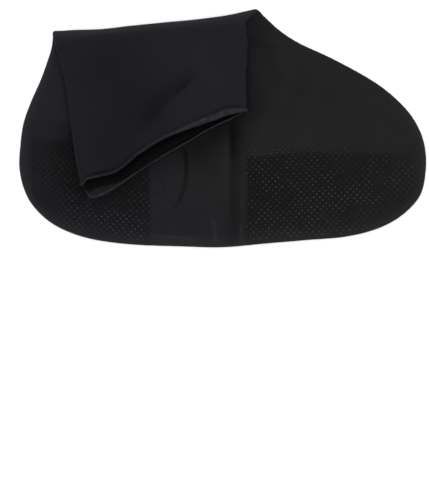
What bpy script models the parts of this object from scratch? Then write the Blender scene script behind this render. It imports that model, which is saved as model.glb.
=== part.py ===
"""A waterproof overshoe of thin moulded rubber, lying on its side with its cuff turned down over the foot.

The overshoe is one seamless piece. It is lofted through closed loops: each loop runs across the near wall
from heel to toe, round the toe-side edge, back across the far wall and round the heel-side edge. The loops
start zipped together along the sole, climb the foot, turn over at the ankle fold, run down the cuff to the
beaded hem, and come back inside to make the inner face of the wall.
Metres, +X towards the toe, +Y from the sole to the ankle, +Z up from the surface that it lies on.
"""

import math
from collections import namedtuple

import bmesh
import bpy
import numpy as np

# Outline
LENGTH = 0.260  # heel to toe, as it lies
HEIGHT = 0.1516  # sole edge to the tall end of the ankle fold
CUFF_DROP = 0.0995  # turned-down cuff, ankle fold to hem, down its heel side

# Rubber
WALL = 0.0012
HEM_PROUD = 0.0005  # how far the hem's bead stands out from each face of the wall
TREAD_RELIEF = 0.0004  # height of the studded tread over the plain wall

# Air between the two walls
EDGE_GAP = 0.0008  # inside the folded-flat edge of the foot
HEM_EDGE_GAP = 0.0015  # inside the cuff's two edges at the hem
FOOT_AIR = 0.0026  # more in the middle of the foot
AIR_REACH = 0.014  # how far in from the edge the foot's air builds up
MOUTH_AIR = 0.0065  # more between the hem's lips

# Ankle fold and how the cuff lies
FOLD_RADIUS = 0.0007  # inside the fold
FOLD_SAG = 0.0024  # dip of the fold's middle towards the sole
FOLD_SAG_ROWS = 3  # sections of the foot that the dip spreads over
FOLD_REACH = 0.045  # how far down the foot the fold presses the walls together
FOLD_PRESS = 0.75  # share of the foot's air that the fold presses out
REST_GAP = 0.0005  # cuff over foot

# Loft
ACROSS = 22  # faces across each wall
ROUND_EDGE = 5  # faces round each edge
FOOT_LOOPS = 24
FOLD_LOOPS = 5
CUFF_LOOPS = 10
CUFF_LAST_PLAIN = 0.94  # share of the cuff where its plain loops end, above the bead
BEAD_TURNS = (145, 90, 40)  # degrees round the bead, from the wall to its tip
OUTLINE_STEPS = 640  # points on the outline that distances from the edge are measured to

# Sections of the foot from the sole seam to the ankle fold: where each meets the outline on the heel side
# and on the toe side. Out is a share of LENGTH from the heel, up a share of HEIGHT from the sole.
Section = namedtuple("Section", "heel_out heel_up toe_out toe_up")
FOOT = (
    Section(0.500, 0.000, 0.500, 0.000),
    Section(0.391, 0.004, 0.603, 0.015),
    Section(0.293, 0.010, 0.706, 0.030),
    Section(0.209, 0.025, 0.797, 0.043),
    Section(0.140, 0.053, 0.867, 0.070),
    Section(0.080, 0.102, 0.922, 0.112),
    Section(0.036, 0.172, 0.965, 0.171),
    Section(0.013, 0.243, 0.990, 0.234),
    Section(0.001, 0.333, 1.000, 0.325),
    Section(0.003, 0.426, 0.999, 0.409),
    Section(0.011, 0.523, 0.985, 0.494),
    Section(0.030, 0.616, 0.949, 0.588),
    Section(0.054, 0.709, 0.880, 0.690),
    Section(0.074, 0.806, 0.777, 0.790),
    Section(0.080, 0.842, 0.691, 0.859),
    Section(0.084, 0.865, 0.641, 0.914),
    Section(0.087, 0.885, 0.599, 0.980),
)

# Sections of the turned-down cuff from the fold to the hem. In is a share of the fold's width from its
# heel end, drop a share of CUFF_DROP.
CuffSection = namedtuple("CuffSection", "heel_in heel_drop toe_in toe_drop")
CUFF = (
    CuffSection(0.004, 0.000, 0.954, 0.000),
    CuffSection(0.009, 0.049, 0.922, 0.034),
    CuffSection(0.014, 0.108, 0.917, 0.069),
    CuffSection(0.020, 0.163, 0.918, 0.137),
    CuffSection(0.034, 0.295, 0.911, 0.241),
    CuffSection(0.038, 0.432, 0.894, 0.354),
    CuffSection(0.041, 0.619, 0.888, 0.442),
    CuffSection(0.047, 0.815, 0.883, 0.530),
    CuffSection(0.060, 1.000, 0.878, 0.612),
)

# The hem's lips, from the heel side to the toe side: how far the upper lip draws back from a straight hem
# and the lower lip reaches past it, as shares of CUFF_DROP, and how far they part, as a share of MOUTH_AIR.
Lip = namedtuple("Lip", "across upper_back lower_out parted")
LIPS = (
    Lip(0.00, 0.000, 0.000, 0.00),
    Lip(0.06, 0.048, 0.076, 0.40),
    Lip(0.13, 0.035, 0.091, 0.72),
    Lip(0.22, 0.025, 0.080, 0.92),
    Lip(0.35, 0.042, 0.056, 1.00),
    Lip(0.50, 0.064, 0.040, 0.95),
    Lip(0.63, 0.064, 0.037, 0.80),
    Lip(0.76, 0.042, 0.024, 0.55),
    Lip(0.88, 0.029, 0.027, 0.28),
    Lip(0.95, 0.014, 0.022, 0.10),
    Lip(1.00, 0.000, 0.000, 0.00),
)

# Soft dents in the near wall of the foot and in the top of the cuff, along a line. Places are shares of
# LENGTH and HEIGHT, width a share of LENGTH, depth a share of FOOT_AIR.
Dent = namedtuple("Dent", "from_out from_up to_out to_up width depth")
FOOT_DENTS = (
    Dent(0.540, 0.560, 0.535, 0.060, 0.030, 0.50),
    Dent(0.395, 0.400, 0.375, 0.170, 0.014, 0.30),
)
CUFF_DENTS = (Dent(0.435, 0.700, 0.330, 0.560, 0.035, 0.35),)

# The studded tread: a pad under the heel and one under the forefoot, between these shares of LENGTH, each
# reaching this share of HEIGHT up the side and fading out over a share of LENGTH.
Pad = namedtuple("Pad", "start end top fade")
TREAD = (
    Pad(0.035, 0.355, 0.500, 0.012),
    Pad(0.558, 0.978, 0.462, 0.012),
)

edge_radius = WALL + EDGE_GAP / 2  # outside of the folded-flat edge
last_foot = len(FOOT) - 1
last_cuff = len(CUFF) - 1


def ease(x):
    """0 to 1 with level ends, for x from 0 to 1."""
    x = np.clip(x, 0, 1)
    return x * x * (3 - 2 * x)


def blend(a, b, share):
    return a + (b - a) * share


def smooth_curve(points, place):
    """The smooth curve through the points, at a place counted in points from the first."""
    points = np.asarray(points, float)
    place = np.clip(np.asarray(place, float), 0, len(points) - 1)
    start = np.minimum(place.astype(int), len(points) - 2)
    f = (place - start)[..., None]
    held = np.vstack([2 * points[0] - points[1], points, 2 * points[-1] - points[-2]])
    a, b, c, d = (held[start + k] for k in range(4))
    return b + 0.5 * f * (c - a + f * (2 * a - 5 * b + 4 * c - d + f * (3 * b - a - 3 * c + d)))


def normals_of(points, place, side):
    """Unit normals of that curve, to the right of its course (side 1) or to the left (side -1)."""
    step = 0.02
    ahead = smooth_curve(points, np.asarray(place) + step)
    course = ahead - smooth_curve(points, np.asarray(place) - step)
    right = np.stack([course[..., 1], -course[..., 0]], -1)
    return side * right / np.linalg.norm(right, axis=-1, keepdims=True)


# The foot's outline from the heel end of the fold, round the heel, sole and toe, to its toe end
heel_points = [(LENGTH * s.heel_out, HEIGHT * s.heel_up) for s in FOOT]
toe_points = [(LENGTH * s.toe_out, HEIGHT * s.toe_up) for s in FOOT]
outline = np.array(heel_points[:0:-1] + toe_points)
outline_fine = smooth_curve(outline, np.linspace(0, 2 * last_foot, OUTLINE_STEPS))

# The ankle fold's own axes, in the plane that the overshoe lies in
fold_heel = outline[0]
fold_width = np.linalg.norm(outline[-1] - fold_heel)
fold_along = (outline[-1] - fold_heel) / fold_width
fold_away = np.array([-fold_along[1], fold_along[0]])  # away from the foot


def on_cuff(share_in, drop):
    """A place on the cuff, from the fold's heel end."""
    return fold_heel + fold_along * fold_width * share_in - fold_away * CUFF_DROP * drop


cuff_heel_points = np.array([on_cuff(s.heel_in, s.heel_drop) for s in CUFF])
cuff_toe_points = np.array([on_cuff(s.toe_in, s.toe_drop) for s in CUFF])


def from_edge(plane):
    """Distance of places in the plane from the foot's outline."""
    away = np.linalg.norm(plane[:, None, :] - outline_fine[None, :, :], axis=2)
    return away.min(axis=1)


def tread_at(plane):
    """How much of the tread's relief a place has, from 0 to 1."""
    out, up = plane[:, 0] / LENGTH, plane[:, 1] / HEIGHT
    most = np.zeros(len(plane))
    for pad in TREAD:
        inside = np.minimum.reduce([out - pad.start, pad.end - out, (pad.top - up) * HEIGHT / LENGTH])
        most = np.maximum(most, ease(inside / pad.fade))
    return most


def dent_at(dents, plane):
    """Depth of the dents at places in the plane."""
    depth = np.zeros(len(plane))
    for dent in dents:
        start = np.array([dent.from_out * LENGTH, dent.from_up * HEIGHT])
        end = np.array([dent.to_out * LENGTH, dent.to_up * HEIGHT])
        line = end - start
        share = np.clip((plane - start) @ line / (line @ line), 0, 1)
        off = np.linalg.norm(plane - start - share[:, None] * line, axis=1)
        depth += dent.depth * FOOT_AIR * np.exp(-((off / (dent.width * LENGTH / 2)) ** 2))
    return depth


def foot_air(plane):
    """Air under the near wall of the foot, over the edge's own gap."""
    rise = 1 - np.exp(-np.clip(from_edge(plane) - edge_radius, 0, None) / AIR_REACH)
    below_fold = (fold_heel - plane) @ fold_away
    return FOOT_AIR * rise * (1 - FOLD_PRESS * (1 - ease(below_fold / FOLD_REACH)))


across = np.linspace(0, 1, ACROSS + 1)
arch = 1 - (2 * across - 1) ** 4  # nearly level in the middle of a run, and 0 at its ends
round_edge = np.linspace(0, math.pi, ROUND_EDGE + 1)[1:-1]


def ring(near, toe_edge, far, heel_edge):
    """One closed loop from its four runs."""
    return np.vstack([near, toe_edge, far[::-1], heel_edge[::-1]])


def foot_edges(place):
    """Centres and outward normals of the foot's heel-side and toe-side edges at a section."""
    heel_normal = normals_of(outline, last_foot - place, 1)
    toe_normal = normals_of(outline, last_foot + place, 1)
    heel = smooth_curve(outline, last_foot - place) - edge_radius * heel_normal
    toe = smooth_curve(outline, last_foot + place) - edge_radius * toe_normal
    return heel, heel_normal, toe, toe_normal


def foot_plane(place):
    """The section's run across the foot, seen from above."""
    heel, _, toe, _ = foot_edges(place)
    near_fold = ease(1 - (last_foot - place) / FOLD_SAG_ROWS)
    dip = FOLD_SAG * near_fold * arch
    return blend(heel, toe, across[:, None]) - dip[:, None] * fold_away


def foot_loop(place, depth):
    """A loop of the foot, this deep in the wall from its outer face."""
    heel, heel_normal, toe, toe_normal = foot_edges(place)
    plane = foot_plane(place)
    relief = TREAD_RELIEF * tread_at(plane) if depth == 0 else 0
    top = 2 * edge_radius + foot_air(plane) - dent_at(FOOT_DENTS, plane) * arch + relief
    radius = edge_radius - depth

    def edge(centre, normal):
        out = centre + radius * np.sin(round_edge)[:, None] * normal
        return np.column_stack([out, edge_radius + radius * np.cos(round_edge)])

    near = np.column_stack([plane, top - depth])
    far = np.column_stack([plane, np.full(len(plane), depth)])
    return ring(near, edge(toe, toe_normal), far, edge(heel, heel_normal))


def cuff_radius(share):
    """Outside radius of the cuff's edges, which open towards the hem."""
    return WALL + blend(EDGE_GAP, HEM_EDGE_GAP, share**2) / 2


def cuff_edges(share):
    """Centres and outward normals of the cuff's heel-side and toe-side edges."""
    place = share * last_cuff
    heel_normal = normals_of(cuff_heel_points, place, 1)
    toe_normal = normals_of(cuff_toe_points, place, -1)
    heel = smooth_curve(cuff_heel_points, place) - cuff_radius(share) * heel_normal
    toe = smooth_curve(cuff_toe_points, place) - cuff_radius(share) * toe_normal
    return heel, heel_normal, toe, toe_normal


lip_across = [lip.across for lip in LIPS]


def lips_at(column):
    """A column of the lips' table, at each place across the cuff."""
    place = np.interp(across, lip_across, np.arange(len(LIPS)))
    return smooth_curve([[getattr(lip, column)] for lip in LIPS], place)[:, 0]


def cuff_planes(share):
    """The cuff's upper and lower walls at a section, seen from above."""
    heel, _, toe, _ = cuff_edges(share)
    straight = blend(heel, toe, across[:, None])
    dip = FOLD_SAG * (1 - share) ** 2 * arch
    back = lips_at("upper_back") * CUFF_DROP * share**2 - dip
    out = lips_at("lower_out") * CUFF_DROP * share**3 + dip
    return straight + back[:, None] * fold_away, straight - out[:, None] * fold_away


def cuff_rest(plane, share):
    """Height of the cuff's underside, where it lies on the foot."""
    gap = REST_GAP + (2 * FOLD_RADIUS - REST_GAP) * (1 - share) ** 4 + HEM_PROUD * share**6
    return 2 * edge_radius + foot_air(plane) + TREAD_RELIEF * tread_at(plane) + gap


fold_foot_plane = foot_plane(last_foot)
fold_air = foot_air(fold_foot_plane)


def cuff_air(share):
    """Air between the cuff's walls, from the fold's to the parted lips'."""
    return blend(fold_air, MOUTH_AIR * np.clip(lips_at("parted"), 0, None), ease(share) ** 1.5)


def cuff_loop(share, depth, back=0.0):
    """A loop of the cuff, this deep in the wall, drawn back this far up the cuff."""
    heel, heel_normal, toe, toe_normal = cuff_edges(share)
    upper, lower = cuff_planes(share)
    radius = cuff_radius(share)
    if back:
        before = share - 0.04
        upper_before, lower_before = cuff_planes(before)
        heel_before, _, toe_before, _ = cuff_edges(before)
        upper, lower = draw_back(upper, upper_before, back), draw_back(lower, lower_before, back)
        heel = draw_back(heel[None], heel_before[None], back)[0]
        toe = draw_back(toe[None], toe_before[None], back)[0]
    height = 2 * radius + cuff_air(share)
    dents = np.minimum(dent_at(CUFF_DENTS, upper), 0.5 * cuff_air(share)) * arch

    def edge(centre, normal):
        out = centre + (radius - depth) * np.sin(round_edge)[:, None] * normal
        middle = cuff_rest(centre[None], share)[0] + radius
        return np.column_stack([out, middle - (radius - depth) * np.cos(round_edge)])

    near = np.column_stack([lower, cuff_rest(lower, share) + depth])
    far = np.column_stack([upper, cuff_rest(upper, share) + height - dents - depth])
    return ring(near, edge(toe, toe_normal), far, edge(heel, heel_normal))


def draw_back(now, before, distance):
    """Places moved this far back towards where the section before them lies."""
    course = before - now
    return now + distance * course / np.linalg.norm(course, axis=1, keepdims=True)


def fold_loop(angle, depth):
    """A loop of the ankle fold, turned this far from the foot (0) to the cuff (pi)."""
    share = angle / math.pi
    heel, heel_normal, toe, toe_normal = foot_edges(last_foot)
    cuff_heel, cuff_heel_normal, cuff_toe, cuff_toe_normal = cuff_edges(0)
    cuff_plane = cuff_planes(0)[0]

    def turned(foot_side, cuff_side, onward, height, top):
        """Places turned about the fold's axis, which lies the fold's radius above the top."""
        arm = top + FOLD_RADIUS - height
        along = blend((foot_side - fold_heel) @ fold_along, (cuff_side - fold_heel) @ fold_along, share)
        line = blend((foot_side - fold_heel) @ fold_away, (cuff_side - fold_heel) @ fold_away, share)
        away = line + onward * math.cos(angle) + arm * math.sin(angle)
        up = height + arm * (1 - math.cos(angle)) + onward * math.sin(angle)
        return np.column_stack([fold_heel + along[:, None] * fold_along + away[:, None] * fold_away, up])

    def edge(centre, normal, cuff_centre, cuff_normal):
        radius = edge_radius - depth
        sideways = blend(normal @ fold_along, cuff_normal @ fold_along, share)
        onward = blend(normal @ fold_away, -cuff_normal @ fold_away, share)
        out = radius * np.sin(round_edge) / math.hypot(sideways, onward)
        aside = (out * sideways)[:, None] * fold_along
        height = edge_radius + radius * np.cos(round_edge)
        return turned(centre + aside, cuff_centre + aside, out * onward, height, 2 * edge_radius)

    top = 2 * edge_radius + fold_air
    near = turned(fold_foot_plane, cuff_plane, 0, top - depth, top)
    far = turned(fold_foot_plane, cuff_plane, 0, np.full(len(top), depth), top)
    toe_edge = edge(toe, toe_normal, cuff_toe, cuff_toe_normal)
    return ring(near, toe_edge, far, edge(heel, heel_normal, cuff_heel, cuff_heel_normal))


def shell_loops():
    """All the loops: up the outer face, round the hem's bead, and back down the inner face."""
    bead = WALL / 2 + HEM_PROUD
    bead_turns = np.radians(BEAD_TURNS)
    bead_back = bead * (1 - np.cos(bead_turns))
    bead_half = bead * np.sin(bead_turns)
    foot_places = np.linspace(0, last_foot, FOOT_LOOPS + 1)
    fold_angles = np.linspace(0, math.pi, FOLD_LOOPS + 2)[1:-1]
    cuff_shares = np.linspace(0, CUFF_LAST_PLAIN, CUFF_LOOPS)

    def face(depth):
        loops = [foot_loop(place, depth) for place in foot_places]
        loops += [fold_loop(angle, depth) for angle in fold_angles]
        return loops + [cuff_loop(share, depth) for share in cuff_shares]

    def hem(side):
        """The bead's loops on the outer face (-1) or the inner one (1), from the wall to the tip."""
        return [cuff_loop(1, WALL / 2 + side * half, back) for back, half in zip(bead_back, bead_half)]

    tip = cuff_loop(1, WALL / 2, 0)
    return face(0) + hem(-1) + [tip] + hem(1)[::-1] + face(WALL)[::-1]


def rubber():
    """Black rubber with a dull skin."""
    material = bpy.data.materials.new("black_rubber")
    material.use_nodes = True
    shader = material.node_tree.nodes["Principled BSDF"]
    shader.inputs["Base Color"].default_value = (0.014, 0.014, 0.016, 1)
    shader.inputs["Roughness"].default_value = 0.55
    shader.inputs["Metallic"].default_value = 0
    return material


def overshoe():
    """The shell, with its origin under the middle of what it covers."""
    loops = np.array(shell_loops())
    low, high = loops.min(axis=(0, 1)), loops.max(axis=(0, 1))
    loops -= [(low[0] + high[0]) / 2, (low[1] + high[1]) / 2, 0]
    built = bmesh.new()
    rows = [[built.verts.new(point) for point in loop] for loop in loops]
    for row, next_row in zip(rows, rows[1:]):
        for k, vert in enumerate(row):
            after = (k + 1) % len(row)
            built.faces.new((vert, row[after], next_row[after], next_row[k]))
    bmesh.ops.remove_doubles(built, verts=built.verts, dist=1e-7)  # zips the loops shut along the sole
    mesh = bpy.data.meshes.new("overshoe")
    built.to_mesh(mesh)
    built.free()
    mesh.materials.append(rubber())
    mesh.shade_smooth()
    bpy.context.scene.collection.objects.link(bpy.data.objects.new("overshoe", mesh))


for old in list(bpy.data.objects):
    bpy.data.objects.remove(old)
overshoe()
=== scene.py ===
# Black moulded rubber overshoe, lying on its side with its cuff turned down over the foot.
# The shell is one lofted mesh, the tread's studs are placed by Geometry Nodes. Metres, +Z up.
import math

import bmesh
import bpy
import numpy as np
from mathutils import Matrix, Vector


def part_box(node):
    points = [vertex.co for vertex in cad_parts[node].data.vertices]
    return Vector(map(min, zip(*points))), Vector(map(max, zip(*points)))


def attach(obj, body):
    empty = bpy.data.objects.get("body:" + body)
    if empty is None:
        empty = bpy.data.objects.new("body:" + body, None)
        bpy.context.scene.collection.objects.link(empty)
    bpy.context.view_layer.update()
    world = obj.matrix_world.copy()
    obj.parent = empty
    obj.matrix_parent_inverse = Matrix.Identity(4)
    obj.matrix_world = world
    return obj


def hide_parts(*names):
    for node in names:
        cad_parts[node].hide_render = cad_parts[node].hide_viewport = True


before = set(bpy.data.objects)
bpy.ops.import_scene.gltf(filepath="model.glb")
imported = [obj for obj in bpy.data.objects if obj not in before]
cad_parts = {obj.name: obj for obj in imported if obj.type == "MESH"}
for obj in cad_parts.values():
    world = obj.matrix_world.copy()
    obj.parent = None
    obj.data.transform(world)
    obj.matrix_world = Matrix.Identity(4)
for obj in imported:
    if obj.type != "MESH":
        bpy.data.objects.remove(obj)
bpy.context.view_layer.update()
cornerLow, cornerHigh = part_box("overshoe")
print("frame loaded, overshoe spans", [round(1000 * side, 1) for side in cornerHigh - cornerLow], "mm")


class Wire:
    # a socket that can be used in sums; node() makes any other node on the same tree
    def __init__(self, tree, socket=None):
        self.tree = tree
        self.socket = socket

    def node(self, kind, settings=(), sockets=(), out=0):
        made = self.tree.nodes.new(kind)
        for name, value in dict(settings).items():
            if name == "stops":
                for k, (place, colour) in enumerate(value):
                    stop = made.color_ramp.elements[k] if k < 2 else made.color_ramp.elements.new(place)
                    stop.position, stop.color = place, colour
            else:
                setattr(made, name, value)
        for key, value in dict(sockets).items():
            if isinstance(value, Wire):
                self.tree.links.new(value.socket, made.inputs[key])
            else:
                made.inputs[key].default_value = value
        return Wire(self.tree, made.outputs[out])

    def sum(self, operation, first, second):
        return self.node("ShaderNodeMath", {"operation": operation}, {0: first, 1: second})

    def __add__(self, other):
        return self.sum("ADD", self, other)

    def __radd__(self, other):
        return self.sum("ADD", other, self)

    def __sub__(self, other):
        return self.sum("SUBTRACT", self, other)

    def __rsub__(self, other):
        return self.sum("SUBTRACT", other, self)

    def __mul__(self, other):
        return self.sum("MULTIPLY", self, other)

    def __rmul__(self, other):
        return self.sum("MULTIPLY", other, self)

    def __gt__(self, other):
        return self.sum("GREATER_THAN", self, other)

    def __lt__(self, other):
        return self.sum("LESS_THAN", self, other)

    def span(self, low, high, newLow=0.0, newHigh=1.0):
        # low..high becomes newLow..newHigh with level ends
        ends = {"From Min": low, "From Max": high, "To Min": newLow, "To Max": newHigh, "Value": self}
        return self.node("ShaderNodeMapRange", {"interpolation_type": "SMOOTHSTEP"}, ends)

    def mix(self, first, second):
        # first where this is 0, second where it is 1, for colours
        return self.node("ShaderNodeMix", {"data_type": "RGBA"}, {0: self, 6: first, 7: second}, out=2)


# The shell

overshoe = {
    "length": 0.260,  # heel to toe
    "height": 0.1516,  # sole edge to the fold's tall end
    "cuffDrop": 0.0995,  # fold to hem, down the heel side
    "wall": 0.0012,
    "edgeGap": 0.0008,  # air inside the folded-flat edge of the foot
    "hemEdgeGap": 0.0015,  # air inside the cuff's edges at the hem
    "footAir": 0.0026,
    "airReach": 0.014,  # how far in from the edge that air builds up
    "mouthAir": 0.0065,  # between the cuff's lips where they part most
    "foldRadius": 0.0007,
    "foldSag": 0.0024,
    "sagToToe": 0.5,  # how much more the fold sags at its toe end
    "foldSagRows": 3,  # rows of the outline, down from the fold, that sag with it
    "foldReach": 0.045,  # down from the fold, where its turn presses the air out
    "foldPress": 0.75,  # share of the air that is gone at the fold
    "restGap": 0.0005,  # cuff over foot
    "ripple": 0.00022,  # soft unevenness of the rubber
    "rippleReach": 0.012,  # in from the edge, where it grows
    "rippleWaves": 9,
    "rippleLengths": (0.022, 0.070),  # shortest and longest wave
    "rippleSeed": 11,
}

hem = {
    "proud": 0.00055,  # bead over each face of the wall
    "band": 0.0042,  # its widest stretch, near the toe
    "lowerBand": 0.0016,  # and on the lower lip
    "rise": 0.012,  # stretch over which the cuff climbs onto its bead
    "shoulder": 0.0007,  # from the bead down to the plain wall
    "groove": 0.00055,  # pinch above the bead
    "grooveWide": 0.0011,
    "grooveShade": 0.6,  # how dark its painted shade is
    "flare": 0.0009,  # upper lip turned up where the bead is wide
    "flareReach": 1.4,  # in widths of the bead
    "waver": 0.00022,  # small unevenness of both lips and of the cuff's toe side
    "waverPower": 12,  # keeps it near the lips
    "waverStart": {"upper": 0.15, "lower": 0.60},
    "waves": (4.3, 9.1, 17.7),  # of that unevenness across the cuff
    "sideWaves": 6.5,  # and down its toe side
    "bareEdge": 0.0006,  # over which the lower lip's bared inner face takes the inner face's painted shade and smoother finish
    "mouthGrows": 2.2,  # power by which the mouth opens towards the hem
    "deepestDent": 0.5,  # share of the mouth's air that the cuff's dents may take
}

# points of the foot's outline, shares of length out from the heel and of height up from the sole
footRows = [
    {"heel": (0.500, 0.000), "toe": (0.500, 0.000)},
    {"heel": (0.391, 0.004), "toe": (0.603, 0.015)},
    {"heel": (0.293, 0.010), "toe": (0.706, 0.030)},
    {"heel": (0.209, 0.025), "toe": (0.797, 0.043)},
    {"heel": (0.140, 0.053), "toe": (0.867, 0.070)},
    {"heel": (0.080, 0.102), "toe": (0.922, 0.112)},
    {"heel": (0.036, 0.172), "toe": (0.965, 0.171)},
    {"heel": (0.013, 0.243), "toe": (0.990, 0.234)},
    {"heel": (0.001, 0.333), "toe": (1.000, 0.325)},
    {"heel": (0.003, 0.426), "toe": (0.999, 0.409)},
    {"heel": (0.011, 0.523), "toe": (0.985, 0.494)},
    {"heel": (0.030, 0.616), "toe": (0.949, 0.588)},
    {"heel": (0.054, 0.709), "toe": (0.880, 0.690)},
    {"heel": (0.074, 0.806), "toe": (0.777, 0.790)},
    {"heel": (0.080, 0.842), "toe": (0.691, 0.859)},
    {"heel": (0.082, 0.865), "toe": (0.641, 0.914)},
    {"heel": (0.083, 0.885), "toe": (0.599, 0.980)},
]

# the same for the cuff: shares of the fold's width in from its heel end, and of the cuff's drop
cuffRows = [
    {"heel": (0.004, 0.000), "toe": (0.954, 0.000)},
    {"heel": (0.009, 0.049), "toe": (0.922, 0.034)},
    {"heel": (0.014, 0.108), "toe": (0.917, 0.069)},
    {"heel": (0.020, 0.163), "toe": (0.918, 0.137)},
    {"heel": (0.034, 0.295), "toe": (0.911, 0.241)},
    {"heel": (0.038, 0.432), "toe": (0.894, 0.354)},
    {"heel": (0.041, 0.619), "toe": (0.888, 0.442)},
    {"heel": (0.047, 0.815), "toe": (0.883, 0.530)},
    {"heel": (0.058, 0.970), "toe": (0.878, 0.612)},
]

# the hem's lips across the cuff: upper lip back and lower lip out from a straight hem, how far they part,
# how wide the bead is, how deep the pinch above it, and the metres of the lower lip's inner face laid bare
lips = {
    "across": [0.00, 0.012, 0.03, 0.06, 0.13, 0.22, 0.35, 0.50, 0.63, 0.76, 0.88, 0.95, 1.00],
    "upperBack": [0.0, 0.012, 0.019, 0.012, -0.003, -0.013, 0.030, 0.053, 0.049, 0.033, 0.025, 0.012, 0.0],
    "lowerOut": [0.0, 0.066, 0.098, 0.114, 0.118, 0.102, 0.073, 0.048, 0.036, 0.014, 0.012, 0.010, 0.0],
    "parted": [0.00, 0.26, 0.52, 0.76, 0.92, 1.00, 1.00, 0.95, 0.80, 0.55, 0.28, 0.10, 0.00],
    "band": [0.34, 0.34, 0.34, 0.34, 0.34, 0.34, 0.38, 0.42, 0.55, 0.92, 1.00, 0.80, 0.40],
    "groove": [0.20, 0.40, 0.60, 0.90, 1.00, 0.70, 0.30, 0.20, 0.35, 0.60, 0.80, 0.60, 0.20],
    "bared": [0.0015, 0.003, 0.004, 0.005, 0.0048, 0.002, 0.001, 0.001, 0.001, 0.001, 0.001, 0.001, 0.0008],
}

# creases and ridges, as paths from top to bottom in shares of length and height. Amounts are depths in
# metres, below zero on a ridge; reach is how far one spreads towards heel and toe. Crisp ones are sharp.
footDents = [
    {"path": [(0.520, 0.560), (0.520, 0.283), (0.524, 0.000)],
     "amount": 0.0008, "reach": (0.0014, 0.008), "crisp": True},
    {"path": [(0.401, 0.430), (0.413, 0.346), (0.413, 0.274), (0.399, 0.215), (0.371, 0.156)],
     "amount": 0.0005, "reach": (0.0018, 0.0040), "crisp": True},
    {"path": [(0.612, 0.850), (0.655, 0.665)], "amount": 0.0003, "reach": (0.003, 0.004), "crisp": False},
    {"path": [(0.650, 0.835), (0.705, 0.690)], "amount": 0.0002, "reach": (0.003, 0.003), "crisp": False},
]
cuffDents = [
    {"path": [(0.420, 0.688), (0.400, 0.660), (0.372, 0.628), (0.349, 0.584), (0.332, 0.524)],
     "amount": 0.0006, "reach": (0.010, 0.0026), "crisp": True},
    {"path": [(0.397, 0.650), (0.342, 0.575), (0.317, 0.505)],
     "amount": 0.0008, "reach": (0.014, 0.006), "crisp": False},
    {"path": [(0.447, 0.675), (0.429, 0.585), (0.397, 0.485)],
     "amount": -0.0006, "reach": (0.010, 0.012), "crisp": False},
]

# painted shade under and beside the cuff, in its folds and along the creases: the same kind of paths,
# amounts up to 1
footShade = [
    {"path": [(0.582, 0.930), (0.566, 0.800), (0.562, 0.600)],
     "amount": 0.42, "reach": (0.004, 0.011), "crisp": False},
    {"path": [(0.550, 0.540), (0.460, 0.450), (0.330, 0.330), (0.230, 0.225)],
     "amount": 0.22, "reach": (0.006, 0.006), "crisp": False},
    {"path": [(0.500, 0.500), (0.445, 0.400)], "amount": 0.46, "reach": (0.014, 0.014), "crisp": False},
    {"path": [(0.115, 0.720), (0.128, 0.600), (0.138, 0.470)],
     "amount": 0.30, "reach": (0.0022, 0.003), "crisp": False},
    {"path": [(0.138, 0.450), (0.150, 0.320), (0.158, 0.250)],
     "amount": 0.50, "reach": (0.011, 0.004), "crisp": False},
    {"path": [(0.532, 0.480), (0.532, 0.410)], "amount": 0.16, "reach": (0.004, 0.008), "crisp": False},
    {"path": [(0.530, 0.460), (0.530, 0.350)], "amount": 0.18, "reach": (0.003, 0.007), "crisp": False},
    {"path": [(0.528, 0.300), (0.530, 0.050)], "amount": 0.22, "reach": (0.007, 0.008), "crisp": False},
    {"path": [(0.522, 0.190), (0.524, 0.060)], "amount": 0.12, "reach": (0.007, 0.007), "crisp": False},
    {"path": [(0.580, 0.869), (0.627, 0.840)], "amount": 0.18, "reach": (0.002, 0.002), "crisp": False},
    {"path": [(0.612, 0.823), (0.637, 0.696)], "amount": 0.20, "reach": (0.005, 0.004), "crisp": False},
    {"path": [(0.700, 0.755), (0.689, 0.654)], "amount": 0.14, "reach": (0.003, 0.003), "crisp": False},
]
cuffShade = [
    {"path": [(0.420, 0.688), (0.400, 0.660), (0.372, 0.628), (0.349, 0.584), (0.337, 0.545)],
     "amount": 0.30, "reach": (0.0090, 0.0020), "crisp": False},
    {"path": [(0.230, 0.740), (0.270, 0.620), (0.250, 0.420)],
     "amount": 0.34, "reach": (0.030, 0.027), "crisp": False},
    {"path": [(0.345, 0.560), (0.360, 0.500)], "amount": 0.12, "reach": (0.012, 0.012), "crisp": False},
]

# fine creases and ridges that the loft is too coarse for, as painted shade (dark) and painted highlight
# (pale)
# that also feed the bump: start, end and how far the middle bows towards the toe, how dark (below zero for
# pale) and the reach towards heel and toe
strokes = [
    {"on": "foot", "line": ((0.402, 0.440), (0.364, 0.115), 0.0064),
     "dark": 0.52, "reach": (0.0024, 0.0026)},
    {"on": "foot", "line": ((0.518, 0.590), (0.520, 0.300), 0.0),
     "dark": 0.30, "reach": (0.0007, 0.0080)},
    {"on": "foot", "line": ((0.520, 0.480), (0.523, 0.020), 0.0),
     "dark": 0.15, "reach": (0.0007, 0.0070)},
    {"on": "foot", "line": ((0.508, 0.530), (0.511, 0.050), 0.0),
     "dark": -0.05, "reach": (0.0040, 0.0018)},
    {"on": "foot", "line": ((0.476, 0.130), (0.486, 0.010), 0.0),
     "dark": -0.20, "reach": (0.0024, 0.0016)},
    {"on": "foot", "line": ((0.545, 0.330), (0.546, 0.010), 0.0),
     "dark": -0.04, "reach": (0.0034, 0.0024)},
    {"on": "foot", "line": ((0.545, 0.100), (0.546, 0.000), 0.0),
     "dark": -0.15, "reach": (0.0020, 0.0016)},
    {"on": "foot", "line": ((0.318, 0.052), (0.470, 0.032), 0.0),
     "dark": -0.20, "reach": (0.0014, 0.0010)},
    {"on": "cuff", "line": ((0.422, 0.700), (0.376, 0.630), 0.0004),
     "dark": 0.26, "reach": (0.0040, 0.001)},
]
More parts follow.
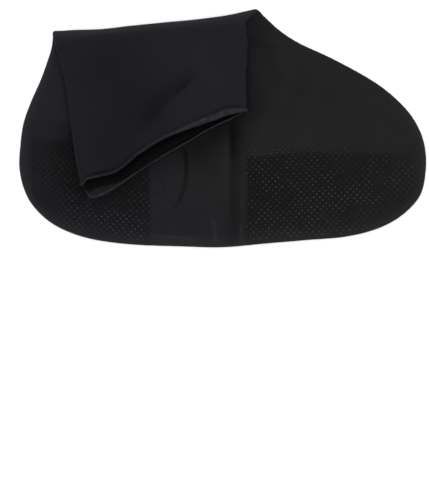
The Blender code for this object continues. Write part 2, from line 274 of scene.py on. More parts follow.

# studded pads, from start to end along the foot and up its side, with their studs' height and the metres
# over which the painted shade between the studs grows, down from the top
pads = [
    {"part": "heel", "start": 0.028, "end": 0.322, "top": 0.534, "high": 1.0, "darkens": 0.018},
    {"part": "heel", "start": 0.322, "end": 0.375, "top": 0.300, "high": 0.5, "darkens": 0.003},
    {"part": "heel", "start": 0.375, "end": 0.470, "top": 0.165, "high": 0.5, "darkens": 0.003},
    {"part": "forefoot", "start": 0.557, "end": 0.632, "top": 0.415, "high": 1.0, "darkens": 0.007},
    {"part": "forefoot", "start": 0.632, "end": 0.969, "top": 0.436, "high": 1.0, "darkens": 0.009},
]

tread = {
    "pitch": 0.0028,  # between neighbours, on a square lattice
    "turns": {"heel": math.radians(45 - 5.4), "forefoot": math.radians(45 + 3.4)},
    "radius": 0.00098,
    "stand": 0.0004,  # over the skin
    "farStand": 0.00033,
    "margin": 0.0026,  # plain border along the outline
    "eachWay": 121,  # points of the lattice
    "dropHeight": 0.1,  # from which each stud is dropped on the skin
    "least": 0.01,  # share of its height under which a stud is left out
    "fade": 0.003,  # past the pads, where the far wall comes down to the table
    "ramp": 0.0008,  # from the rounded edge to the far side's pads, whose studs touch the table
}

fineness = {
    "near": 150,  # faces across each wall
    "far": 130,
    "edge": 7,  # round each edge
    "foot": 110,  # along each stretch, from the sole to the hem
    "fold": 14,
    "cuff": 56,
    "hem": 24,
    "inside": 3,  # the inner face has one in so many
    "insideHem": 2,  # and at the hem
    "crowding": 0.35,  # how much shorter the faces are near both edges
    "hemStretch": 0.1,  # share of the cuff, at the hem, with the finest loops
    "outline": 640,  # points along the outline, to measure from
    "path": 25,  # and along each crease
}

# what each point of the shell carries for the material: belongs to the cuff, belongs to the bead, distance
# from the outline or the fold, painted shade, inner face (painted shade and a smoother finish)
marks = ["cuff", "bead", "away", "shade", "inside"]

edgeRadius = overshoe["wall"] + overshoe["edgeGap"] / 2
lastFoot = len(footRows) - 1
lastCuff = len(cuffRows) - 1
wholeFoot = np.array([overshoe["length"], overshoe["height"]])


def ease(x):
    x = np.clip(x, 0, 1)
    return x * x * (3 - 2 * x)


def blend(a, b, share):
    return a + (b - a) * share


def smoothCurve(points, place):
    # smooth curve through the points, at a place counted from the first of them
    points = np.asarray(points, float)
    place = np.clip(np.asarray(place, float), 0, len(points) - 1)
    start = np.minimum(place.astype(int), len(points) - 2)
    f = (place - start)[..., None]
    held = np.vstack([2 * points[0] - points[1], points, 2 * points[-1] - points[-2]])
    a, b, c, d = (held[start + k] for k in range(4))
    return b + 0.5 * f * (c - a + f * (2 * a - 5 * b + 4 * c - d + f * (3 * b - a - 3 * c + d)))


def sideways(points, place, side):
    # unit normals of that curve, to the right of its course (side 1) or to the left (side -1)
    step = 0.02
    ahead = smoothCurve(points, np.asarray(place) + step)
    course = ahead - smoothCurve(points, np.asarray(place) - step)
    right = np.stack([course[..., 1], -course[..., 0]], -1)
    return side * right / np.linalg.norm(right, axis=-1, keepdims=True)


heelSide = [row["heel"] for row in footRows[:0:-1]]
outline = np.array(heelSide + [row["toe"] for row in footRows]) * wholeFoot
outlineFine = smoothCurve(outline, np.linspace(0, 2 * lastFoot, fineness["outline"]))

foldHeel = outline[0]
foldWidth = np.linalg.norm(outline[-1] - foldHeel)
foldAlong = (outline[-1] - foldHeel) / foldWidth
foldAway = np.array([-foldAlong[1], foldAlong[0]])


def onCuff(side):
    inShare, dropShare = np.array([row[side] for row in cuffRows]).T[..., None]
    return foldHeel + foldAlong * foldWidth * inShare - foldAway * overshoe["cuffDrop"] * dropShare


cuffHeelPoints = onCuff("heel")
cuffToePoints = onCuff("toe")

waveMaker = np.random.default_rng(overshoe["rippleSeed"])
waveTurn = waveMaker.uniform(0, math.pi, overshoe["rippleWaves"])
waveLength = waveMaker.uniform(*overshoe["rippleLengths"], overshoe["rippleWaves"])
waveStart = waveMaker.uniform(0, 2 * math.pi, overshoe["rippleWaves"])


def ripple(plane):
    # soft unevenness of the near face, made of long waves
    run = plane[:, :1] * np.cos(waveTurn) + plane[:, 1:] * np.sin(waveTurn)
    return overshoe["ripple"] * np.sin(2 * math.pi * run / waveLength + waveStart).sum(axis=1) / 3


def belowFold(plane):
    return np.clip((foldHeel - plane) @ foldAway, 0, None)


def fromEdge(plane):
    return np.linalg.norm(plane[:, None, :] - outlineFine[None, :, :], axis=2).min(axis=1)


def treadAt(plane):
    # 1 on the studded pads, 0 off them
    out, up = (plane / wholeFoot).T
    most = np.zeros(len(plane))
    for pad in pads:
        inside = np.minimum.reduce([
            (out - pad["start"]) * overshoe["length"],
            (pad["end"] - out) * overshoe["length"],
            (pad["top"] - up) * overshoe["height"],
        ])
        most = np.maximum(most, ease(1 + inside / tread["fade"]))
    return most


def alongPaths(folds, plane):
    # sum of the paths' amounts at each place
    total = np.zeros(len(plane))
    for fold in folds:
        places = np.linspace(0, len(fold["path"]) - 1, fineness["path"])
        path = smoothCurve(np.array(fold["path"]) * wholeFoot, places)
        away, side = np.full(len(plane), np.inf), np.zeros(len(plane))
        for start, end in zip(path, path[1:]):
            line, offset = end - start, plane - start
            share = np.clip(offset @ line / (line @ line), 0, 1)
            gap = np.linalg.norm(offset - share[:, None] * line, axis=1)
            side = np.where(gap < away, line[0] * offset[:, 1] - line[1] * offset[:, 0], side)
            away = np.minimum(away, gap)
        reach = np.where(side < 0, *fold["reach"])
        total += fold["amount"] * np.exp(-((away / reach) ** (1 if fold["crisp"] else 2)))
    return total


def footTop(plane):
    # height of the foot's near face where nothing dents it
    away = np.clip(fromEdge(plane) - edgeRadius, 0, None)
    rise = 1 - np.exp(-away / overshoe["airReach"])
    press = 1 - overshoe["foldPress"] * (1 - ease(belowFold(plane) / overshoe["foldReach"]))
    rippled = ripple(plane) * ease(away / overshoe["rippleReach"])
    return 2 * edgeRadius + overshoe["footAir"] * rise * press + rippled


def crowded(steps):
    # 0 to 1 in steps that are shorter near both ends
    even = np.linspace(0, 1, steps + 1)
    return even - fineness["crowding"] * np.sin(2 * math.pi * even) / (2 * math.pi)


nearAcross = crowded(fineness["near"])
farAcross = crowded(fineness["far"])
roundEdge = np.linspace(0, math.pi, fineness["edge"] + 1)[1:-1]


def arch(across):
    # 1 over the middle of a wall, 0 at its two edges
    return 1 - (2 * across - 1) ** 4


def ring(near, toeEdge, far, heelEdge):
    return np.vstack([near, toeEdge, far[::-1], heelEdge[::-1]])


def withMarks(plane, height, **given):
    # a row of places followed by their marks
    values = [height] + [given.get(name, 0.0) for name in marks]
    return np.column_stack([plane] + [np.broadcast_to(value, len(plane)) for value in values])


def footEdges(place):
    heelNormal = sideways(outline, lastFoot - place, 1)
    toeNormal = sideways(outline, lastFoot + place, 1)
    heel = smoothCurve(outline, lastFoot - place) - edgeRadius * heelNormal
    toe = smoothCurve(outline, lastFoot + place) - edgeRadius * toeNormal
    return heel, heelNormal, toe, toeNormal


def foldDip(across):
    # sag of the ankle fold between its two ends
    return overshoe["foldSag"] * arch(across) * (1 + overshoe["sagToToe"] * across)


def footPlane(place, across):
    heel, _, toe, _ = footEdges(place)
    dip = ease(1 - (lastFoot - place) / overshoe["foldSagRows"]) * foldDip(across)
    return blend(heel, toe, across[:, None]) - dip[:, None] * foldAway


def nearTop(plane, across):
    return footTop(plane) - alongPaths(footDents, plane) * arch(across)


def footLoop(place, depth):
    heel, heelNormal, toe, toeNormal = footEdges(place)
    near, far = footPlane(place, nearAcross), footPlane(place, farAcross)
    radius = edgeRadius - depth
    inside = float(depth > 0)
    farAway = fromEdge(far)

    def edge(centre, normal):
        out = centre + radius * np.sin(roundEdge)[:, None] * normal
        return withMarks(out, edgeRadius + radius * np.cos(roundEdge), inside=inside)

    nearRun = withMarks(near, nearTop(near, nearAcross) - depth, away=fromEdge(near),
                        shade=alongPaths(footShade, near), inside=inside)
    aboveTable = tread["stand"] * treadAt(far) * ease((farAway - edgeRadius) / tread["ramp"])
    farRun = withMarks(far, aboveTable + depth, away=farAway, inside=inside)
    return ring(nearRun, edge(toe, toeNormal), farRun, edge(heel, heelNormal))


def cuffRadius(share):
    return overshoe["wall"] + blend(overshoe["edgeGap"], overshoe["hemEdgeGap"], share**2) / 2


def cuffEdges(share):
    place = share * lastCuff
    heelNormal = sideways(cuffHeelPoints, place, 1)
    toeNormal = sideways(cuffToePoints, place, -1)
    heel = smoothCurve(cuffHeelPoints, place) - cuffRadius(share) * heelNormal
    uneven = hem["waver"] * math.sin(2 * math.pi * hem["sideWaves"] * share)
    toe = smoothCurve(cuffToePoints, place) - (cuffRadius(share) + uneven) * toeNormal
    return heel, heelNormal, toe, toeNormal


def lipsAt(column, across):
    place = np.interp(across, lips["across"], np.arange(len(lips["across"])))
    return smoothCurve(np.array(lips[column])[:, None], place)[:, 0]


def waver(across, start):
    # small waves along a lip
    waves = sum(np.sin(2 * math.pi * (rate * across + start)) / math.sqrt(rate) for rate in hem["waves"])
    return hem["waver"] * waves * arch(across)


def cuffPlane(share, across, upper):
    heel, _, toe, _ = cuffEdges(share)
    dip = (1 - share) ** 2 * foldDip(across)
    if upper:
        shift = lipsAt("upperBack", across) * overshoe["cuffDrop"] * share**2 - dip
        shift += waver(across, hem["waverStart"]["upper"]) * share ** hem["waverPower"]
    else:
        shift = -lipsAt("lowerOut", across) * overshoe["cuffDrop"] * share**3 - dip
        shift += waver(across, hem["waverStart"]["lower"]) * share ** hem["waverPower"]
    return blend(heel, toe, across[:, None]) + shift[:, None] * foldAway


def cuffRest(plane, share, toHem):
    # height at which the cuff's lower wall lies
    gap = overshoe["restGap"] + (2 * overshoe["foldRadius"] - overshoe["restGap"]) * (1 - share) ** 4
    bead = hem["proud"] * ease(1 - toHem / hem["rise"])
    return footTop(plane) + tread["stand"] * ease(2 * share) + gap + bead


foldAir = nearTop(footPlane(lastFoot, farAcross), farAcross) - 2 * edgeRadius


def mouth(share):
    # height of the air between the cuff's two walls
    parted = overshoe["mouthAir"] * np.clip(lipsAt("parted", farAcross), 0, None)
    return blend(foldAir, parted, ease(share) ** hem["mouthGrows"])


def hemHalf(toHem, band):
    # half the wall's thickness at a distance from the hem: round tip, thick bead, then the plain wall
    thick = overshoe["wall"] / 2 + hem["proud"]
    tip = np.sqrt(np.clip(thick**2 - (thick - np.minimum(toHem, thick)) ** 2, 0, None))
    plain = ease((toHem - band) / hem["shoulder"])
    return tip * (1 - plain) + overshoe["wall"] / 2 * plain


def cuffLoop(share, side):
    # side -1 is the outer face, 1 the inner one
    heel, heelNormal, toe, toeNormal = cuffEdges(share)
    upper, lower = cuffPlane(share, farAcross, True), cuffPlane(share, nearAcross, False)
    upperToHem = np.linalg.norm(upper - hemUpper, axis=1)
    lowerToHem = np.linalg.norm(lower - hemLower, axis=1)
    upperBand = hem["band"] * lipsAt("band", farAcross)
    radius = cuffRadius(share)
    middle = overshoe["wall"] / 2
    inside = float(side > 0)

    def edge(centre, normal, atHem, band):
        toHem = np.linalg.norm(centre - atHem)
        half = hemHalf(toHem, band)
        arm = radius - middle - side * half
        out = centre + arm * np.sin(roundEdge)[:, None] * normal
        height = cuffRest(centre[None], share, toHem)[0] + radius - arm * np.cos(roundEdge)
        bead = beadShare(half)
        bare = inside * (1 - bead)
        return withMarks(out, height, cuff=1.0, bead=bead, away=belowFold(out), inside=bare)

    upperHalf, lowerHalf = hemHalf(upperToHem, upperBand), hemHalf(lowerToHem, hem["lowerBand"])
    top = cuffRest(upper, share, upperToHem) + 2 * radius + mouth(share)
    top -= np.minimum(alongPaths(cuffDents, upper), hem["deepestDent"] * mouth(share)) * arch(farAcross)
    pinch = lipsAt("groove", farAcross)
    pinch = pinch * np.exp(-(((upperToHem - upperBand - hem["grooveWide"]) / hem["grooveWide"]) ** 2))
    top -= hem["groove"] * pinch
    flare = hem["flare"] * (upperBand / hem["band"]) ** 2 * arch(farAcross)
    top += flare * ease(1 - upperToHem / (hem["flareReach"] * upperBand))
    lowerTop = cuffRest(lower, share, lowerToHem) + middle + side * lowerHalf
    hidden = inside * ease((lowerToHem - lipsAt("bared", nearAcross)) / hem["bareEdge"])
    lowerRun = withMarks(lower, lowerTop, cuff=1.0, bead=beadShare(lowerHalf), away=belowFold(lower),
                         inside=hidden)
    upperTop = top - middle - side * upperHalf
    upperShade = alongPaths(cuffShade, upper) + hem["grooveShade"] * pinch
    upperRun = withMarks(upper, upperTop, cuff=1.0, bead=beadShare(upperHalf), away=belowFold(upper),
                         shade=upperShade, inside=inside)
    toeEdge = edge(toe, toeNormal, hemToe, upperBand[-1])
    return ring(lowerRun, toeEdge, upperRun, edge(heel, heelNormal, hemHeel, upperBand[0]))


def beadShare(half):
    return np.clip((half - overshoe["wall"] / 2) / hem["proud"], 0, 1)


hemUpper = cuffPlane(1, farAcross, True)
hemLower = cuffPlane(1, nearAcross, False)
hemHeel, _, hemToe, _ = cuffEdges(1)


def foldLoop(angle, depth):
    share = angle / math.pi
    heel, heelNormal, toe, toeNormal = footEdges(lastFoot)
    cuffHeel, cuffHeelNormal, cuffToe, cuffToeNormal = cuffEdges(0)

    def turned(footSide, cuffSide, onward, height, top):
        # places of the foot's last row turned over by the angle, on their way to the cuff's first row
        arm = top + overshoe["foldRadius"] - height
        along = blend((footSide - foldHeel) @ foldAlong, (cuffSide - foldHeel) @ foldAlong, share)
        line = blend((footSide - foldHeel) @ foldAway, (cuffSide - foldHeel) @ foldAway, share)
        away = line + onward * math.cos(angle) + arm * math.sin(angle)
        up = height + arm * (1 - math.cos(angle)) + onward * math.sin(angle)
        place = foldHeel + along[:, None] * foldAlong + away[:, None] * foldAway
        return withMarks(place, up, cuff=ease(share), inside=float(depth > 0))

    def edge(centre, normal, cuffCentre, cuffNormal):
        radius = edgeRadius - depth
        aside = blend(normal @ foldAlong, cuffNormal @ foldAlong, share)
        onward = blend(normal @ foldAway, -cuffNormal @ foldAway, share)
        out = radius * np.sin(roundEdge) / math.hypot(aside, onward)
        shift = (out * aside)[:, None] * foldAlong
        height = edgeRadius + radius * np.cos(roundEdge)
        return turned(centre + shift, cuffCentre + shift, out * onward, height, 2 * edgeRadius)

    def run(across, fromFar):
        footSide, cuffSide = footPlane(lastFoot, across), cuffPlane(0, across, True)
        top = nearTop(footSide, across)
        return turned(footSide, cuffSide, 0, depth if fromFar else top - depth, top)

    toeEdge = edge(toe, toeNormal, cuffToe, cuffToeNormal)
    heelEdge = edge(heel, heelNormal, cuffHeel, cuffHeelNormal)
    return ring(run(nearAcross, False), toeEdge, run(farAcross, True), heelEdge)


def faceLoops(outer):
    # loops from the sole's seam up to the hem's tip, on the outer or the inner face
    coarser, coarserHem = (1, 1) if outer else (fineness["inside"], fineness["insideHem"])
    depth, side = (0, -1) if outer else (overshoe["wall"], 1)
    places = np.linspace(0, lastFoot, fineness["foot"] // coarser + 1)
    angles = np.linspace(0, math.pi, fineness["fold"] // coarser + 2)[1:-1]
    shares = np.linspace(0, 1 - fineness["hemStretch"], fineness["cuff"] // coarser)
    towardsTip = np.linspace(1, 0, fineness["hem"] // coarserHem + 1)[1:-1]
    loops = [footLoop(place, depth) for place in places]
    loops += [foldLoop(angle, depth) for angle in angles]
    loops += [cuffLoop(share, side) for share in shares]
    return loops + [cuffLoop(1 - fineness["hemStretch"] * u**2, side) for u in towardsTip]


def moveToCad(rows):
    # the loft is worked out from the heel and sole, the frame's middle is the solid's
    rows[..., 0] += cornerLow.x - rows[..., 0].min()
    rows[..., 1] += cornerLow.y - rows[..., 1].min()
    return rows


def gridMesh(name, rows, closed):
    # quads between rows of points; closed joins each row's end to its start
    tall, wide = rows.shape[:2]
    index = np.arange(tall * wide).reshape(tall, wide)
    after = np.roll(index, -1, axis=1)
    if not closed:
        index, after = index[:, :-1], after[:, :-1]
    faces = np.stack([index[:-1], after[:-1], after[1:], index[1:]], -1).reshape(-1, 4)
    mesh = bpy.data.meshes.new(name)
    mesh.from_pydata(rows[..., :3].reshape(-1, 3).tolist(), [], faces.tolist())
    return mesh


def addAttribute(mesh, name, values):
    attribute = mesh.attributes.new(name, "FLOAT", "POINT")
    attribute.data.foreach_set("value", np.ascontiguousarray(values, dtype=np.float32).ravel())


def addObject(name, mesh):
    made = bpy.data.objects.new(name, mesh)
    bpy.context.scene.collection.objects.link(made)
    return made


outerLoops = faceLoops(True)
innerLoops = faceLoops(False)
shellRows = moveToCad(np.array(outerLoops + [cuffLoop(1, 1)] + innerLoops[::-1]))
print("shell lofted:", shellRows.shape[0], "loops of", shellRows.shape[1])

shellMesh = gridMesh("rubber_shell", shellRows, True)
for k, mark in enumerate(marks):
    addAttribute(shellMesh, mark, shellRows[..., 3 + k])
zipped = bmesh.new()
zipped.from_mesh(shellMesh)
bmesh.ops.remove_doubles(zipped, verts=zipped.verts, dist=1e-7)  # closes the loops along the sole
zipped.to_mesh(shellMesh)
zipped.free()
shellMesh.shade_smooth()
shell = addObject("rubber_shell", shellMesh)


# The tread: a lattice of studs dropped on the skin

def padHeight(x, y, parts, soft=0.0):
    # height share of the studs on the pad at x, y (as sockets), 0 where there is none; soft is half the
    # width of a blurred border, in metres, whose top then fades over what the pad says
    def over(value, limit):
        return value.span(limit - soft, limit + soft) if soft else value > limit

    high = 0.0
    for pad in pads:
        if pad["part"] not in parts:
            continue
        start, end = (cornerLow.x + pad[key] * overshoe["length"] for key in ("start", "end"))
        top = cornerLow.y + pad["top"] * overshoe["height"]
        above = y.span(top - pad["darkens"], top) if soft else y > top
        high = over(x, start) * (1 - over(x, end)) * (1 - above) * pad["high"] + high
    return high


def treadTree(part):
    tree = bpy.data.node_groups.new(part + "_studs", "GeometryNodeTree")
    for name, kind in (("Skin", "Geometry"), ("Pitch", "Float"), ("Each Way", "Int"), ("Turn", "Float"),
                       ("Radius", "Float"), ("Height", "Float"), ("Margin", "Float"), ("Side", "Float"),
                       ("Drop Height", "Float"), ("Least", "Float"), ("Rubber", "Material")):
        tree.interface.new_socket(name, in_out="INPUT", socket_type="NodeSocket" + kind)
    tree.interface.new_socket("Studs", in_out="OUTPUT", socket_type="NodeSocketGeometry")
    bench = Wire(tree)
    group = tree.nodes.new("NodeGroupInput")
    given = {socket.name: Wire(tree, socket) for socket in group.outputs if socket.name}

    spread = given["Pitch"] * (given["Each Way"] - 1)
    lattice = bench.node("GeometryNodeMeshGrid", sockets={
        "Size X": spread, "Size Y": spread,
        "Vertices X": given["Each Way"], "Vertices Y": given["Each Way"]})
    turn = bench.node("ShaderNodeCombineXYZ", sockets={2: given["Turn"]})
    lattice = bench.node("GeometryNodeTransform", sockets={"Geometry": lattice, "Rotation": turn})

    place = bench.node("GeometryNodeInputPosition")
    x, y = (bench.node("ShaderNodeSeparateXYZ", sockets={0: place}, out=k) for k in range(2))
    high = padHeight(x, y, [part])

    above = given["Side"] * given["Drop Height"]
    eye = bench.node("ShaderNodeCombineXYZ", sockets={0: x, 1: y, 2: above})
    down = bench.node("ShaderNodeCombineXYZ", sockets={2: given["Side"] * -1.0})

    def seen(output, mark="away"):
        value = bench.node("GeometryNodeInputNamedAttribute", {"data_type": "FLOAT"}, {"Name": mark})
        return bench.node("GeometryNodeRaycast", {"data_type": "FLOAT"}, {
            "Target Geometry": given["Skin"], "Attribute": value, "Source Position": eye,
            "Ray Direction": down}, out=output)

    def keep(geometry, kind, name, value):
        return bench.node("GeometryNodeStoreNamedAttribute", {"data_type": kind, "domain": "POINT"},
                          {"Geometry": geometry, "Name": name, "Value": value})

    hitPlace, away = seen("Hit Position"), seen("Attribute")
    kept = seen("Is Hit") * (away > given["Margin"]) * (high > given["Least"])
    lattice = keep(lattice, "FLOAT_VECTOR", "lean", seen("Hit Normal"))
    lattice = keep(lattice, "FLOAT", "high", high)
    lattice = keep(lattice, "FLOAT", "away", away)
    lattice = keep(lattice, "FLOAT", "shade", seen("Attribute", "shade"))
    lattice = bench.node("GeometryNodeDeleteGeometry", {"domain": "POINT"},
                         {"Geometry": lattice, "Selection": kept < 0.5})
    lattice = bench.node("GeometryNodeSetPosition", sockets={"Geometry": lattice, "Position": hitPlace})

    stud = bench.node("GeometryNodeMeshUVSphere", sockets={"Segments": 8, "Rings": 4, "Radius": 1.0})
    tip = bench.node("ShaderNodeSeparateXYZ", sockets={0: place}, out=2)
    stud = keep(stud, "FLOAT", "tip", tip)
    lean = bench.node("GeometryNodeInputNamedAttribute", {"data_type": "FLOAT_VECTOR"}, {"Name": "lean"})
    tilt = bench.node("FunctionNodeAlignRotationToVector", {"axis": "Z"}, {"Vector": lean})
    share = bench.node("GeometryNodeInputNamedAttribute", {"data_type": "FLOAT"}, {"Name": "high"})
    size = bench.node("ShaderNodeCombineXYZ", sockets={
        0: given["Radius"], 1: given["Radius"], 2: given["Height"] * share})
    studs = bench.node("GeometryNodeInstanceOnPoints", sockets={
        "Points": lattice, "Instance": stud, "Rotation": tilt, "Scale": size})
    studs = bench.node("GeometryNodeRealizeInstances", sockets={"Geometry": studs})
    studs = bench.node("GeometryNodeSetShadeSmooth", sockets={"Geometry": studs})
    studs = bench.node("GeometryNodeSetMaterial", sockets={"Geometry": studs, "Material": given["Rubber"]})
    tree.links.new(studs.socket, tree.nodes.new("NodeGroupOutput").inputs[0])
    return tree


def studsOn(skinRows, side, stand, part, rubber):
    # the studs of the sole's heel or forefoot on one side's skin, as a plain mesh
    tree = treadTree(part)
    skinMesh = gridMesh("skin", skinRows, False)
    for mark in ("away", "shade"):
        addAttribute(skinMesh, mark, skinRows[..., 3 + marks.index(mark)])
    skin = addObject("skin", skinMesh)
    modifier = skin.modifiers.new("studs", "NODES")
    modifier.node_group = tree
    sockets = {item.name: item.identifier for item in tree.interface.items_tree if item.in_out == "INPUT"}
    for name, value in (("Pitch", tread["pitch"]), ("Each Way", tread["eachWay"]),
                        ("Turn", tread["turns"][part]), ("Radius", tread["radius"]), ("Height", stand),
                        ("Margin", tread["margin"]), ("Side", side), ("Drop Height", tread["dropHeight"]),
                        ("Least", tread["least"]), ("Rubber", rubber)):
        modifier[sockets[name]] = value
    evaluated = skin.evaluated_get(bpy.context.evaluated_depsgraph_get())
    made = bpy.data.meshes.new_from_object(evaluated)
    bpy.data.objects.remove(skin)
    return made


# Materials

rubberLook = {
    "plain": (0.0070, 0.0070, 0.0077, 1),
    "worn": (0.0083, 0.0083, 0.0091, 1),
    "tint": (0.0077, 0.0071, 0.0096, 1),  # towards the heel
    "cuff": (0.0068, 0.0064, 0.0088, 1),  # the duller inner side, turned out
    "ground": (0.0026, 0.0026, 0.0030, 1),  # painted shade between the studs
    # painted shade: the colour that the shade paths, the dark strokes and the rings round the studs' bases
    # mix towards
    "paintedShade": (0.0004, 0.0004, 0.0005, 1),
    # painted shade on the inner faces, where the shoe's inside stays dark
    "inner": (0.0010, 0.0010, 0.0011, 1),
    "paleDustAndHighlight": (0.0260, 0.0260, 0.0280, 1),  # pale dust that rubber grows, also the colour of painted highlights and reflections
    "rimReflectionReach": 0.008,  # of the painted reflection, from the outline and the fold inwards
    "soleReach": 0.015,
    "soleRise": (-0.070, -0.035),  # y over which the second becomes the first
    # how pale the painted reflection at the rim is
    "rimReflection": 0.22,
    "smears": 0.03,
    "flecks": 0.12,
    "edging": (0.12, 0.46),  # least and most painted highlight on the bead
    "tipHighlight": (0.18, 0.67),  # least and most painted highlight on the studs' tips
    "patches": (0.50, 1.40),  # by which that varies from place to place
    "heelTipHighlight": (-0.122, -0.080),  # x over which the heel's first studs get less painted highlight
    "topTipHighlight": (-0.045, 0.0),  # y over which the upper studs get less painted highlight
    "tintEnd": (-0.005, 0.015),  # x over which the tint ends on the sole
    "tintRise": (-0.055, -0.040),  # y over which that end moves towards the heel
    "tintBack": 0.035,  # and by how much
    "toeClear": (-0.030, 0.030),  # x over which the rim's painted reflection fades out, high on the toe's side
    "toeClearRise": (0, 0.030),  # and y over which it does
    "groundShare": 0.85,
    "groundSoft": 0.0018,  # half the width of its blurred border
    "groundEdge": (0.002, 0.030),  # in from the outline, where it darkens
    "groundToe": (0.010, 0.120),  # x over which it pales again
    "footing": 0.8,  # how dark the painted shade ring round each stud's base is
    "roughness": 0.50,
    "innerRoughness": 0.35,
    "specular": 0.036,
    "bump": 0.35,
    "bumpDepth": 0.00012,
}

# how fine each pattern of the rubber is, in cells to the metre
patterns = {
    "blotch": 14,
    "patch": 42,
    "smear": 60,
    # noise of the painted highlight on the studs' tips
    "tipGlint": 260,
    "edging": 420,
    "fleck": 1500,
    "pore": 1900,
    "grain": 2600,
}


def rubberMaterial():
    material = bpy.data.materials.new("black_rubber")
    material.use_nodes = True
    tree = material.node_tree
    shader = tree.nodes["Principled BSDF"]
    bench = Wire(tree)
    place = bench.node("ShaderNodeTexCoord", out="Object")
    x, y, z = (bench.node("ShaderNodeSeparateXYZ", sockets={0: place}, out=k) for k in range(3))

    def noise(scale, detail, roughness=0.5):
        return bench.node("ShaderNodeTexNoise", sockets={
            "Vector": place, "Scale": scale, "Detail": detail, "Roughness": roughness})

    def attribute(name):
        return bench.node("ShaderNodeAttribute", {"attribute_name": name}, out="Fac")

    def stroke(line, reach):
        # 1 along the line, falling to 0 over its reach towards heel and toe
        start, end, bow = line
        start, end = ([cornerLow.x, cornerLow.y] + np.array(spot) * wholeFoot for spot in (start, end))
        length = math.dist(start, end)
        ahead = (end - start) / length
        fromX, fromY = x - float(start[0]), y - float(start[1])
        share = (fromX * float(ahead[0]) + fromY * float(ahead[1])) * (1 / length)
        off = fromY * float(ahead[0]) - fromX * float(ahead[1]) - share * (1 - share) * (4 * bow)
        ends = share.span(0, 0.15) * (1 - share.span(0.65, 1))
        return off.span(-reach[0], 0) * (1 - off.span(0, reach[1])) * ends

    blotch = noise(patterns["blotch"], 4).span(0.35, 0.65)
    smear = noise(patterns["smear"], 6, 0.7).span(0.40, 0.75)
    fleck = noise(patterns["fleck"], 2).span(0.66, 0.78)
    pore = bench.node("ShaderNodeTexVoronoi", sockets={
        "Vector": place, "Scale": patterns["pore"]}, out="Distance")
    cuff, bead, away, shade, inside = (attribute(mark) for mark in marks)
    tip = attribute("tip")
    foot = 1 - cuff
    fine = 0.0
    # the strokes: painted shade in fine creases and painted highlights along fine ridges, also fed to the
    # bump
    for drawn in strokes:
        where = foot * (z > edgeRadius) if drawn["on"] == "foot" else cuff
        fine = stroke(drawn["line"], drawn["reach"]) * where * drawn["dark"] + fine
    # painted reflection of the white table, paler towards the outline and the fold
    reach = y.span(*rubberLook["soleRise"], rubberLook["soleReach"], rubberLook["rimReflectionReach"])
    rim = 1 - away.span(0, reach)
    rim = rim * (1 - y.span(*rubberLook["toeClearRise"]) * x.span(*rubberLook["toeClear"]) * foot)
    # painted shade between the studs on the pads, lighter near the outline and towards the toe
    ground = padHeight(x, y, tread["turns"], rubberLook["groundSoft"]).span(0.5, 1.0) * foot
    ground = ground * away.span(*rubberLook["groundEdge"], 0.45, 1.0)
    ground = ground * x.span(*rubberLook["groundToe"], 1.0, 0.60)

    colour = (blotch * 0.7 + smear * 0.3).mix(rubberLook["plain"], rubberLook["worn"])
    tintPlace = x + y.span(*rubberLook["tintRise"], 0.0, rubberLook["tintBack"]) * foot
    colour = tintPlace.span(*rubberLook["tintEnd"], 0.7, 0.0).mix(colour, rubberLook["tint"])
    colour = cuff.mix(colour, rubberLook["cuff"])
    colour = (ground * rubberLook["groundShare"]).mix(colour, rubberLook["ground"])
    onStud = attribute("high")
    # painted highlight on the studs' tips, varying from stud to stud
    tipHighlight = noise(patterns["tipGlint"], 2).span(0.36, 0.64, *rubberLook["tipHighlight"])
    tipHighlight = tip.span(0.25, 1.0) * tipHighlight * onStud
    tipHighlight = tipHighlight * x.span(*rubberLook["heelTipHighlight"], 0.4, 1.0)
    tipHighlight = tipHighlight * y.span(*rubberLook["topTipHighlight"], 1.0, 0.5)
    tipHighlight = tipHighlight * noise(patterns["patch"], 2).span(0.35, 0.65, *rubberLook["patches"])
    # painted highlight along the hem's bead, made uneven by noise
    edging = bead * noise(patterns["edging"], 3).span(0.36, 0.64, *rubberLook["edging"])
    # real dust (smears, flecks) and painted highlights: the bead, the studs' tips, the rim and the pale
    # strokes
    dustAndHighlights = smear * rubberLook["smears"] + fleck * rubberLook["flecks"] + edging + tipHighlight
    dustAndHighlights = dustAndHighlights + rim * rim * rubberLook["rimReflection"]
    colour = (dustAndHighlights - fine).mix(colour, rubberLook["paleDustAndHighlight"])
    # painted shade round the foot of each stud
    footing = onStud * (1 - tip.span(0.15, 0.6)) * rubberLook["footing"]
    # painted shade from the shade paths, the dark strokes and the rings round the studs' bases
    colour = (shade + fine + footing).mix(colour, rubberLook["paintedShade"])
    # painted shade on the inner faces and in the mouth
    colour = inside.mix(colour, rubberLook["inner"])
    tree.links.new(colour.socket, shader.inputs["Base Color"])

    roughness = rubberLook["roughness"] + blotch * 0.08 + fleck * 0.15
    roughness = inside * (rubberLook["innerRoughness"] - rubberLook["roughness"]) + roughness
    tree.links.new(roughness.socket, shader.inputs["Roughness"])
    grain = noise(patterns["grain"], 3) * 0.6 + pore * 0.5
    grain = grain + noise(patterns["edging"], 3) * 0.8 - fine * 4
    bump = bench.node("ShaderNodeBump", sockets={
        "Height": grain, "Strength": rubberLook["bump"], "Distance": rubberLook["bumpDepth"]})
    tree.links.new(bump.socket, shader.inputs["Normal"])
    shader.inputs["Specular IOR Level"].default_value = rubberLook["specular"]
    return material


rubber = rubberMaterial()
shellMesh.materials.append(rubber)

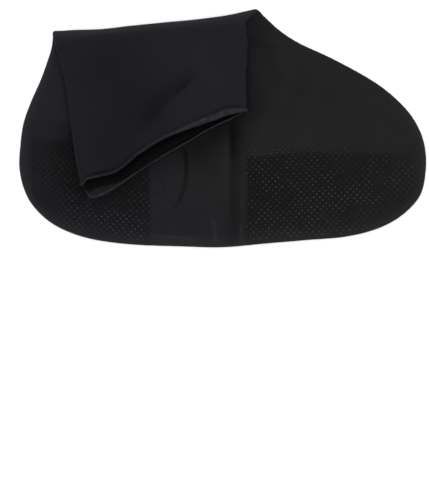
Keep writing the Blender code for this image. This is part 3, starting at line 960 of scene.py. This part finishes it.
outerFoot = shellRows[: fineness["foot"] + 1]
nearSkin = outerFoot[:, : fineness["near"] + 1]
farStart = fineness["near"] + 1 + len(roundEdge)
farSkin = outerFoot[:, farStart : farStart + fineness["far"] + 1]
studMesh = bpy.data.meshes.new("tread_studs")
studMesh.materials.append(rubber)
joined = bmesh.new()
for part in tread["turns"]:
    joined.from_mesh(studsOn(nearSkin, 1.0, tread["stand"], part, rubber))
    joined.from_mesh(studsOn(farSkin, -1.0, tread["farStand"], part, rubber))
joined.to_mesh(studMesh)
joined.free()
studs = addObject("tread_studs", studMesh)
print("tread:", len(studMesh.polygons), "faces of studs")

for piece in (shell, studs):
    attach(piece, "root")
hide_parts("overshoe")


# The stage: a white table in a light tent, a soft box behind the top, the camera straight above

studio = {
    "metresPerPixel": 0.00063832,
    "photo": (429, 496),
    "middle": (222.45, 128.3),  # where the solid's middle lies in the picture
    "cameraHeight": 2.0,
    "focusHeight": 0.004,
    "sensor": 36.0,
    "floorSize": 6.0,
    "floorColour": (0.90, 0.90, 0.90, 1),
    # brightness of the light tent by height, from the table's level up to the camera's dark opening
    "room": [(0.0, (0.55, 0.55, 0.55, 1)), (0.30, (0.9, 0.9, 0.9, 1)), (0.95, (1.0, 1.0, 1.0, 1)),
             (0.985, (0.15, 0.15, 0.15, 1))],
    "roomLight": 1.75,
}

softBoxes = [
    {"name": "back box", "at": (-0.20, 1.30, 0.90), "size": 0.8, "power": 5.6},
]


def lookAt(made, target):
    # turns a lamp's or camera's -Z to the target
    direction = np.array(target, float) - np.array(made.location)
    flat = math.hypot(direction[0], direction[1])
    made.rotation_euler = (math.atan2(flat, -direction[2]), 0, math.atan2(-direction[0], direction[1]))


def makeStage():
    half = studio["floorSize"] / 2
    floorMesh = bpy.data.meshes.new("floor")
    corners = [(-half, -half, 0), (half, -half, 0), (half, half, 0), (-half, half, 0)]
    floorMesh.from_pydata(corners, [], [(0, 1, 2, 3)])
    floor = addObject("floor", floorMesh)
    paper = bpy.data.materials.new("white_table")
    paper.use_nodes = True
    shader = paper.node_tree.nodes["Principled BSDF"]
    shader.inputs["Base Color"].default_value = studio["floorColour"]
    shader.inputs["Roughness"].default_value = 0.9
    shader.inputs["Specular IOR Level"].default_value = 0.0
    floorMesh.materials.append(paper)

    world = bpy.data.worlds.new("studio")
    world.use_nodes = True
    room = Wire(world.node_tree)
    direction = room.node("ShaderNodeTexCoord", out="Generated")
    up = room.node("ShaderNodeSeparateXYZ", sockets={0: direction}, out=2)
    glow = room.node("ShaderNodeValToRGB", {"stops": studio["room"]}, {"Fac": up})
    world.node_tree.links.new(glow.socket, world.node_tree.nodes["Background"].inputs["Color"])
    world.node_tree.nodes["Background"].inputs["Strength"].default_value = studio["roomLight"]
    bpy.context.scene.world = world
    for box in softBoxes:
        data = bpy.data.lights.new(box["name"], "AREA")
        data.size = box["size"]
        data.energy = box["power"]
        light = addObject(box["name"], data)
        light.location = box["at"]
        lookAt(light, (0, 0, 0))


def makeCamera():
    data = bpy.data.cameras.new("camera")
    camera = addObject("camera", data)
    wide, tall = studio["photo"]
    x = (wide / 2 - studio["middle"][0]) * studio["metresPerPixel"]
    y = (studio["middle"][1] - tall / 2) * studio["metresPerPixel"]
    camera.location = (x, y, studio["cameraHeight"])
    data.sensor_width = studio["sensor"]
    reach = studio["cameraHeight"] - studio["focusHeight"]
    data.lens = studio["sensor"] * reach / (tall * studio["metresPerPixel"])
    data.clip_start, data.clip_end = 0.05, 20
    bpy.context.scene.camera = camera


makeStage()
makeCamera()
bpy.context.scene.view_settings.view_transform = "Standard"
print("stage set")
